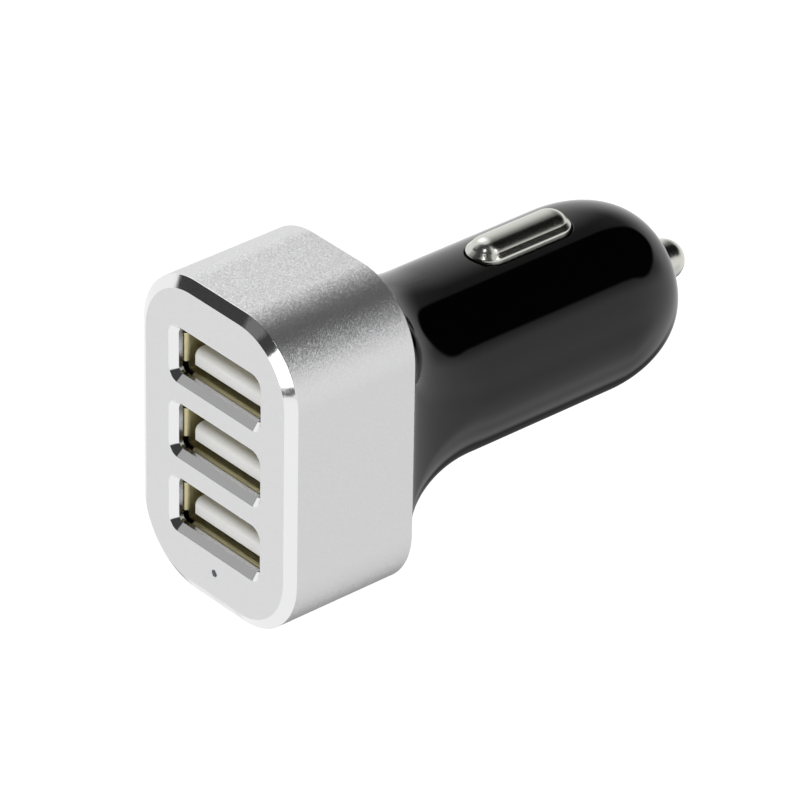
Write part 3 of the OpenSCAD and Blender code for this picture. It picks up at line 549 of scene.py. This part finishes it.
def makeHousing():
    b, s = housingBuild, slotBuild
    skin = Skin()
    cornerR = shroudBuild["cornerRadius"]
    collarInset = shroudBuild["wall"] + b["collarGap"]
    pocketInset = collarInset + b["collarWall"]
    ledgeInset = pocketInset + b["ledgeWidth"]
    ledgeY = rearY - b["ledge"]
    neckY = rearY + b["flange"]
    flangeX, flangeZ = halfFaceX - b["flangeInset"], halfFaceZ - b["flangeInset"]
    # collar, seat against the shroud's rim, and flange
    profile = roundedProfile([
        (ledgeInset, ledgeY, 0), (pocketInset, ledgeY, b["ledgeEdge"]),
        (pocketInset, collarY, b["collarEdge"]), (collarInset, collarY, b["collarEdge"]),
        (collarInset, rearY, b["seatEdge"]),
        (b["flangeInset"], rearY, b["edge"]), (b["flangeInset"], neckY, b["edge"]),
        (b["flangeInset"] + b["flangeBorder"], neckY, 0)])
    rings = insetLoft(skin, halfFaceX, halfFaceZ, cornerR, profile, b["quarterSteps"], b["sideSpans"])
    first, ring = rings[0], rings[-1]

    def shaped(halfX, halfZ, radius, y):
        flat, _ = outline(halfX, halfZ, min(radius, halfX, halfZ), b["quarterSteps"], b["sideSpans"])
        return skin.ring([(x, y, z) for x, z in flat])

    # neck, from the rounded square to the round barrel
    for k in range(2, b["neckRings"] + 1):
        turn = math.radians(90 * k / b["neckRings"])
        following = shaped(neckSize(flangeX, barrelR, turn), neckSize(flangeZ, barrelR, turn),
                           neckSize(cornerR - b["flangeInset"], barrelR, turn), neckY * math.cos(turn))
        skin.bridge(ring, following)
        ring = following
    # barrel, outside and inside, with its two slots
    slotFrom, slotTo = s["start"] - s["margin"], s["start"] + s["length"] + s["margin"]
    slotRows = [slotFrom + (slotTo - slotFrom) * k / s["rows"] for k in range(s["rows"] + 1)]
    slotRows[-1] = barrelEndY
    barrelSkin(skin, barrelR, [0, slotFrom / 3, slotFrom * 2 / 3] + slotRows, slotRows, 1)
    barrelSkin(skin, boreR, [-b["cavityShift"], 0, slotFrom / 2] + slotRows, slotRows, -1)
    for side in (1, -1):
        outer = slotPatch(skin, barrelR, side, slotRows, False)
        inner = slotPatch(skin, boreR, side, slotRows, True)
        skin.bridge(outer, inner)
    # nose, then the pin's bore and sleeve, and the inside of the nose back to the barrel
    ring = circle(skin, barrelR, barrelEndY, barrelCount)
    reach = barrelR - b["noseEndRadius"]
    for k in range(1, b["noseRings"] + 1):
        t = math.radians(90 * k / b["noseRings"])
        normal = np.array((b["noseLength"] * math.cos(t), reach * math.sin(t)))
        normal /= np.linalg.norm(normal)
        following = circle(skin, b["noseEndRadius"] + reach * math.cos(t),
                           barrelEndY + b["noseLength"] * math.sin(t), barrelCount, tuple(normal))
        skin.bridge(ring, following)
        ring = following
    shoulderY = noseY - b["noseWall"]
    sleeveY = shoulderY - b["sleeveLength"]
    inside = roundedProfile([
        (b["noseEndRadius"], noseY, 0), (b["boreRadius"], noseY, b["boreEdge"]),
        (b["boreRadius"], shoulderY, b["rootEdge"]), (b["sleeveRadius"], shoulderY, b["rootEdge"]),
        (b["sleeveRadius"], sleeveY, b["sleeveEdge"]), (b["noseEndRadius"], sleeveY, b["sleeveEdge"]),
        (b["noseEndRadius"], shoulderY, 0)])
    for r, y, na, nb, _ in inside[1:]:
        following = circle(skin, r, y, barrelCount, (na, nb))
        skin.bridge(ring, following)
        ring = following
    for k in range(b["innerNoseRings"] - 1, -1, -1):
        t = math.radians(90 * k / b["innerNoseRings"])
        following = circle(skin, b["noseEndRadius"] + (boreR - b["noseEndRadius"]) * math.cos(t),
                           barrelEndY + (b["noseLength"] - b["noseWall"]) * math.sin(t), barrelCount)
        skin.bridge(ring, following)
        ring = following
    # inside of the neck, back to the ledge
    ring = shaped(boreR, boreR, boreR, -b["cavityShift"])
    for k in range(b["cavityRings"] - 1, -1, -1):
        turn = math.radians(b["cavityFrom"] + (90 - b["cavityFrom"]) * k / b["cavityRings"])
        halfX = min(neckSize(flangeX, barrelR, turn) - b["wall"], halfFaceX - ledgeInset)
        halfZ = min(neckSize(flangeZ, barrelR, turn) - b["wall"], halfFaceZ - ledgeInset)
        following = shaped(halfX, halfZ, neckSize(cornerR - ledgeInset, boreR, turn),
                           neckY * math.cos(turn) - b["cavityShift"])
        skin.bridge(ring, following)
        ring = following
    skin.bridge(ring, first)
    makeRails(skin)
    skin.build("glossHousing", ["glossAbs"], "body", ["housing"])


makeHousing()
print("housing ready")

# side contacts: bright nickel, an arched crown on a sloped shoulder over a flange inside the barrel
contactBuild = {"halfWidth": 2.4, "halfLength": 6.55, "crest": 12.04, "crownHalf": 1.86, "topRadius": 3,
                "sideRadius": 1.9, "footSlope": 59, "shoulderSlope": 46, "shoulderBow": 2, "rimRadius": 0.38,
                "flangeLow": 7.924, "flangeHigh": 8.524, "flangeHalfWidth": 2.2, "flangeHalfLength": 7.8,
                "flangeEdge": 0.05, "flangeRoot": 0.15, "middleLine": 0.001, "arcSteps": 6, "crownSteps": 16,
                "endSteps": 40, "sideSpans": 12}


def obroundRing(skin, radius, straight, z, side, normal=None):
    # ring at distance radius from the middle line, which is straight long on each side of the slot's middle
    b = contactBuild
    places, normals = [], []
    for end in (1, -1):
        for k in range(b["endSteps"] + 1):
            t = math.pi * k / b["endSteps"] + (0 if end > 0 else math.pi)
            places.append((radius * math.cos(t), slotMid + end * straight + radius * math.sin(t), side * z))
            normals.append((math.cos(t), math.sin(t)))
        x = places[-1][0]
        for k in range(1, b["sideSpans"]):
            y = slotMid + end * straight * (1 - 2 * k / b["sideSpans"])
            places.append((x, y, side * z))
            normals.append((-end, 0))
    if normal is None:
        return skin.ring(places)
    return skin.ring(places, [(normal[0] * nx, normal[0] * ny, side * normal[1]) for nx, ny in normals])


def makeContact(side, name, body):
    b = contactBuild
    skin = Skin()
    straight = b["halfLength"] - b["halfWidth"]
    flangeStraight = b["flangeHalfLength"] - b["flangeHalfWidth"]
    # directions in the section, as (across, up)
    foot, slope = math.radians(b["footSlope"]), math.radians(b["shoulderSlope"])
    turn = math.asin((b["crownHalf"] - b["sideRadius"] * math.sin(foot)) / (b["topRadius"] - b["sideRadius"]))
    topMid = np.array((0, b["crest"] - b["topRadius"]))
    sideMid = topMid + (b["topRadius"] - b["sideRadius"]) * np.array((math.sin(turn), math.cos(turn)))
    crownFoot = sideMid + b["sideRadius"] * np.array((math.sin(foot), math.cos(foot)))
    out = np.array((math.sin(slope), math.cos(slope)))
    rimX = b["halfWidth"] - b["rimRadius"] * (1 - math.sin(slope))
    rim = np.array((rimX, crownFoot[1] - (rimX - crownFoot[0]) * math.tan(slope)))
    rimMid = rim - b["rimRadius"] * out
    line = []

    def arc(middle, radius, start, end, steps):
        for k in range(steps + 1):
            t = start + (end - start) * k / steps
            spot = middle + radius * np.array((math.sin(t), math.cos(t)))
            line.append((*spot, math.sin(t), math.cos(t)))

    arc(topMid, b["topRadius"], 0, turn, b["arcSteps"])
    arc(sideMid, b["sideRadius"], turn, foot, b["crownSteps"])
    # the shoulder bows out a little between the crease and the rim
    bow = math.radians(b["shoulderBow"])
    bowRadius = np.linalg.norm(rim - crownFoot) / (2 * math.sin(bow))
    bowMid = (rim + crownFoot) / 2 - out * bowRadius * math.cos(bow)
    arc(bowMid, bowRadius, slope - bow, slope + bow, b["arcSteps"])
    arc(rimMid, b["rimRadius"], slope + bow, math.pi / 2, b["arcSteps"])
    line.append((b["halfWidth"], b["flangeHigh"] + b["flangeEdge"], 1, 0))
    top = None
    for r, z, na, nb in line:
        following = obroundRing(skin, max(r, b["middleLine"]), straight, z, side, (na, nb))
        if top:
            skin.bridge(top, following)
        else:
            skin.face(following)
        top = following
    edge = b["flangeEdge"]
    flange = [(b["halfWidth"] - b["flangeRoot"], straight, b["flangeHigh"]),
              (b["flangeHalfWidth"] - edge, flangeStraight, b["flangeHigh"]),
              (b["flangeHalfWidth"], flangeStraight, b["flangeHigh"] - edge),
              (b["flangeHalfWidth"], flangeStraight, b["flangeLow"] + edge),
              (b["flangeHalfWidth"] - edge, flangeStraight, b["flangeLow"])]
    for r, run, z in flange:
        following = obroundRing(skin, r, run, z, side)
        skin.bridge(top, following)
        top = following
    skin.face(top)
    node = "side_contact_top" if side > 0 else "side_contact_bottom"
    skin.build(name, ["nickelPlate"], body, [node])


# centre pin: bright nickel, turned, with a round tip and a flange behind the nose
pinBuild = {"radius": 2.3, "flangeRadius": 3.3, "flange": 1.2, "flangeGap": 0.05, "tailRadius": 1.7,
            "tailEdge": 0.15, "flangeEdge": 0.1, "rootEdge": 0.05, "middleLine": 0.01, "sides": 96,
            "domeRings": 24}


def makePin():
    b = pinBuild
    lo, hi = boxMm("centre_pin")
    domeY = hi[1] - b["radius"]
    flangeTop = noseY - housingBuild["noseWall"] - b["flangeGap"]
    flangeLow = flangeTop - b["flange"]
    skin = Skin()
    profile = roundedProfile([
        (b["middleLine"], lo[1], 0), (b["tailRadius"], lo[1], b["tailEdge"]),
        (b["tailRadius"], flangeLow, b["rootEdge"]), (b["flangeRadius"], flangeLow, b["flangeEdge"]),
        (b["flangeRadius"], flangeTop, b["flangeEdge"]), (b["radius"], flangeTop, b["rootEdge"]),
        (b["radius"], domeY, 0)])
    for k in range(1, b["domeRings"] + 1):
        t = math.radians(90 * k / b["domeRings"])
        profile.append((max(b["radius"] * math.cos(t), b["middleLine"]), domeY + b["radius"] * math.sin(t),
                        math.cos(t), math.sin(t), 0))
    ring = None
    for r, y, na, nb, _ in profile:
        following = circle(skin, r, y, b["sides"], (na, nb))
        if ring:
            skin.bridge(ring, following)
        else:
            skin.face(following)
        ring = following
    skin.face(ring)
    skin.build("domedPin", ["nickelPlate"], "pin", ["centre_pin"])


makeContact(1, "upperContact", "contact_top")
makeContact(-1, "lowerContact", "contact_bottom")
makePin()
print("contacts and pin ready")

# CAD pieces: each node whose name starts with the first word gets the material that follows
finishes = {"usb_shell": "nickelSheet", "usb_insulator": "whiteNylon", "usb_contacts": "giltBronze",
            "port_board": "maskedLaminate", "main_board": "maskedLaminate", "power_inductor": "firedFerrite",
            "input_capacitor": "canAluminium", "output_capacitor": "canAluminium",
            "regulator_chip": "mouldedEpoxy", "flyback_diode": "mouldedEpoxy", "input_fuse": "glazedCeramic",
            "status_led": "siliconeLens", "light_guide": "clearAcrylic", "pin_spring": "springSteel",
            "pin_terminal": "nickelPlate", "contact_spring": "springSteel",
            "front_shroud": "blastedAluminium", "housing": "glossAbs", "centre_pin": "nickelPlate",
            "side_contact": "nickelPlate"}
edgeBuild = {"weld": 0.002, "crease": 32}


def sharpenEdges(piece):
    weld = piece.modifiers.new("weld", "WELD")
    weld.merge_threshold = edgeBuild["weld"] * mm
    split = piece.modifiers.new("split", "EDGE_SPLIT")
    split.split_angle = math.radians(edgeBuild["crease"])


for name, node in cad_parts.items():
    for start, material in finishes.items():
        if name.startswith(start):
            node.data.materials.clear()
            node.data.materials.append(bpy.data.materials[material])
    sharpenEdges(node)
print("CAD pieces finished")

# springs: each is copied from its CAD node as a piece of its own, with its edges sharpened
springBuild = {"pin_spring": ("coilSpring", "pin", 1), "contact_spring_top": ("upperLeaf", "contact_top", 2),
               "contact_spring_bottom": ("lowerLeaf", "contact_bottom", 2)}


def makeSpring(node, name):
    spring = bpy.data.objects.new(name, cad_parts[node].data.copy())
    bpy.context.collection.objects.link(spring)
    sharpenEdges(spring)
    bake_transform(spring)
    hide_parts(node)


for node, (name, body, axis) in springBuild.items():
    makeSpring(node, name)
print("springs ready")

# studio: white paper under the plug, one soft lamp, and what the metal and the gloss show of the room
studio = {"floorBelow": 75, "floorHalf": 4000, "paper": 0.8, "lift": 0.4,
          "white": 1.0, "fill": 1.2, "even": 0.5,
          "lampToward": (-0.94, 0.25, 0.9), "lampDistance": 900, "lampSize": 400, "lampPower": 0.5}
# cards round the plug, each a rounded panel that is measured in degrees: heading (0 along the plug, 90 to +X)
# and height of its middle, half width, half height, corner, softness of its edge and climb per degree across,
# and then its brightness; a later card covers an earlier one
cards = [
    ("leftFall", -19, 54, 23, 40, 12, 30, 0, 0.17),
    ("lowerFall", 45, 61, 40, 43, 14, 18, 0.5, 0.4),
    ("darkRoom", 45, 61, 30, 36, 16, 4, 0.5, 0.002),
    ("darkLeft", 12, 52, 29, 40, 17, 4, 0.05, 0.002),
    ("below", 50, -40, 18, 22, 10, 18, 0, 0.8),
    ("tableShade", -14, -66, 40, 24, 12, 22, 0, 0.6),
    ("table", -37, -62, 27, 28, 12, 18, 0, 0.1),
    ("cameraRoom", 173, 63, 68, 60, 4, 8, 0, 0.05),
    ("zenith", 0, 102, 200, 24, 2, 8, 0, 0.01),
    ("greyPatch", -129.5, 34, 8, 12, 4, 8, 0, 0.42),
    ("lightPatch", -152, 17, 9, 5, 2, 6, 0, 0.2),
    ("strip", 168, -13, 22, 2.6, 1, 3, 0, 0.08),
    ("brightStrip", 174, 1.5, 11, 10, 3, 4, 0, 2.6),
    ("lampHigh", 161, 49, 6, 6, 6, 3, 0, 6),
    ("lampRight", 73, 41, 6, 6, 6, 3, 0, 6),
]


def makeStudio():
    world = bpy.data.worlds.new("studio")
    bpy.context.scene.world = world
    world.use_nodes = True
    tree = world.node_tree
    tree.nodes.clear()
    where = addNode(tree, "TexCoord")
    part = addNode(tree, "SeparateXYZ", {0: where.outputs["Generated"]})
    turn = addNode(tree, "Math", {"operation": "ARCTAN2", 0: part.outputs[0], 1: part.outputs[1]})
    rise = addNode(tree, "Math", {"operation": "ARCSINE", 0: part.outputs[2]})
    heading = addNode(tree, "Math", {"operation": "DEGREES", 0: turn.outputs[0]})
    height = addNode(tree, "Math", {"operation": "DEGREES", 0: rise.outputs[0]})
    level = studio["white"]
    for name, mid, tall, halfWide, halfTall, corner, soft, climb, bright in cards:
        aside = addNode(tree, "Math", {"operation": "SUBTRACT", 0: heading.outputs[0], 1: mid})
        across = addNode(tree, "Math", {"operation": "WRAP", 0: aside.outputs[0], 1: 180, 2: -180})
        climbed = addNode(tree, "Math", {"operation": "MULTIPLY_ADD", 0: across.outputs[0], 1: -climb,
                                         2: height.outputs[0]})
        along = addNode(tree, "Math", {"operation": "SUBTRACT", 0: climbed.outputs[0], 1: tall})
        spot = addNode(tree, "CombineXYZ", {0: across.outputs[0], 1: along.outputs[0]})
        folded = addNode(tree, "VectorMath", {"operation": "ABSOLUTE", 0: spot.outputs[0]})
        past = addNode(tree, "VectorMath", {"operation": "SUBTRACT", 0: folded.outputs[0],
                                            1: (halfWide - corner, halfTall - corner, 0)})
        beyond = addNode(tree, "VectorMath", {"operation": "MAXIMUM", 0: past.outputs[0], 1: (0, 0, 0)})
        apart = addNode(tree, "VectorMath", {"operation": "LENGTH", 0: beyond.outputs[0]})
        cover = addNode(tree, "MapRange", {"interpolation_type": "SMOOTHSTEP", "From Min": corner + soft / 2,
                                           "From Max": corner - soft / 2, "Value": apart.outputs["Value"]})
        cover.label = name
        mixed = addNode(tree, "Mix", {0: cover.outputs[0], 2: level, 3: bright})
        level = mixed.outputs[0]
    # the eye sees plain white; diffuse light is partly even and partly from the room
    path = addNode(tree, "LightPath")
    even = addNode(tree, "Math", {"operation": "MULTIPLY", 0: path.outputs["Is Diffuse Ray"],
                                  1: studio["even"]})
    lit = addNode(tree, "Mix", {0: even.outputs[0], 2: level, 3: studio["fill"]})
    strength = addNode(tree, "Math", {"operation": "MAXIMUM", 0: lit.outputs[0],
                                      1: path.outputs["Is Camera Ray"]})
    background = addNode(tree, "Background", {"Color": (1, 1, 1, 1), "Strength": strength.outputs[0]})
    addNode(tree, "OutputWorld", {"Surface": background.outputs[0]})


def makeFloor():
    # white paper that takes the shadow: what it lacks to white is given to the eye
    # reflections look through it
    tree = startMaterial("paperFloor")
    grey = studio["paper"]
    path = addNode(tree, "LightPath")
    paper = addNode(tree, "BsdfDiffuse", {"Color": (grey, grey, grey, 1)})
    seen = addNode(tree, "Math", {"operation": "MAXIMUM", 0: path.outputs["Is Camera Ray"],
                                  1: path.outputs["Is Transmission Ray"]})
    lift = addNode(tree, "Math", {"operation": "MULTIPLY", 0: seen.outputs[0], 1: studio["lift"]})
    glow = addNode(tree, "Emission", {"Color": (1, 1, 1, 1), "Strength": lift.outputs[0]})
    both = addNode(tree, "AddShader", {0: paper.outputs[0], 1: glow.outputs[0]})
    through = addNode(tree, "BsdfTransparent")
    shown = addNode(tree, "MixShader", {0: seen.outputs[0], 1: through.outputs[0], 2: both.outputs[0]})
    addNode(tree, "OutputMaterial", {"Surface": shown.outputs[0]})
    half, z = studio["floorHalf"] * mm, -studio["floorBelow"] * mm
    mesh = bpy.data.meshes.new("floor")
    corners = [(-half, -half, z), (half, -half, z), (half, half, z), (-half, half, z)]
    mesh.from_pydata(corners, [], [(0, 1, 2, 3)])
    mesh.materials.append(bpy.data.materials["paperFloor"])
    floor = bpy.data.objects.new("floor", mesh)
    bpy.context.collection.objects.link(floor)


def makeLamp():
    # soft square lamp that looks at the plug
    data = bpy.data.lights.new("softKey", "AREA")
    data.size, data.energy = studio["lampSize"] * mm, studio["lampPower"]
    lamp = bpy.data.objects.new("softKey", data)
    bpy.context.collection.objects.link(lamp)
    lamp.location = Vector(studio["lampToward"]).normalized() * studio["lampDistance"] * mm
    lamp.rotation_euler = lamp.location.to_track_quat("Z", "Y").to_euler()


makeStudio()
makeFloor()
makeLamp()
print("studio ready")

# camera, as it stood for the photograph: angles in degrees, and the lens and its film in millimetres
cameraBuild = {"heading": 48.948, "height": 31.788, "roll": 1.042, "right": 7.384, "up": 0.559,
               "distance": 692.167, "lens": 304.41, "film": 36, "centreY": -13.5, "near": 10, "far": 100000}


def makeCamera():
    c = cameraBuild
    heading, height, roll = (math.radians(c[k]) for k in ("heading", "height", "roll"))
    level = math.cos(height)
    back = Vector((math.sin(heading) * level, -math.cos(heading) * level, math.sin(height)))
    right = Vector((math.cos(heading), math.sin(heading), 0))
    up = back.cross(right)
    turnedRight = right * math.cos(roll) + up * math.sin(roll)
    turnedUp = up * math.cos(roll) - right * math.sin(roll)
    place = Vector((0, c["centreY"], 0)) + turnedRight * c["right"] + turnedUp * c["up"]
    place += back * c["distance"]
    data = bpy.data.cameras.new("camera")
    data.lens, data.sensor_width = c["lens"], c["film"]
    data.clip_start, data.clip_end = c["near"] * mm, c["far"] * mm
    camera = bpy.data.objects.new("camera", data)
    bpy.context.collection.objects.link(camera)
    spin = Matrix((turnedRight, turnedUp, back)).transposed()
    camera.matrix_world = Matrix.Translation(place * mm) @ spin.to_4x4()
    bpy.context.scene.camera = camera


makeCamera()
bpy.context.scene.view_settings.view_transform = "Standard"
print("camera ready")
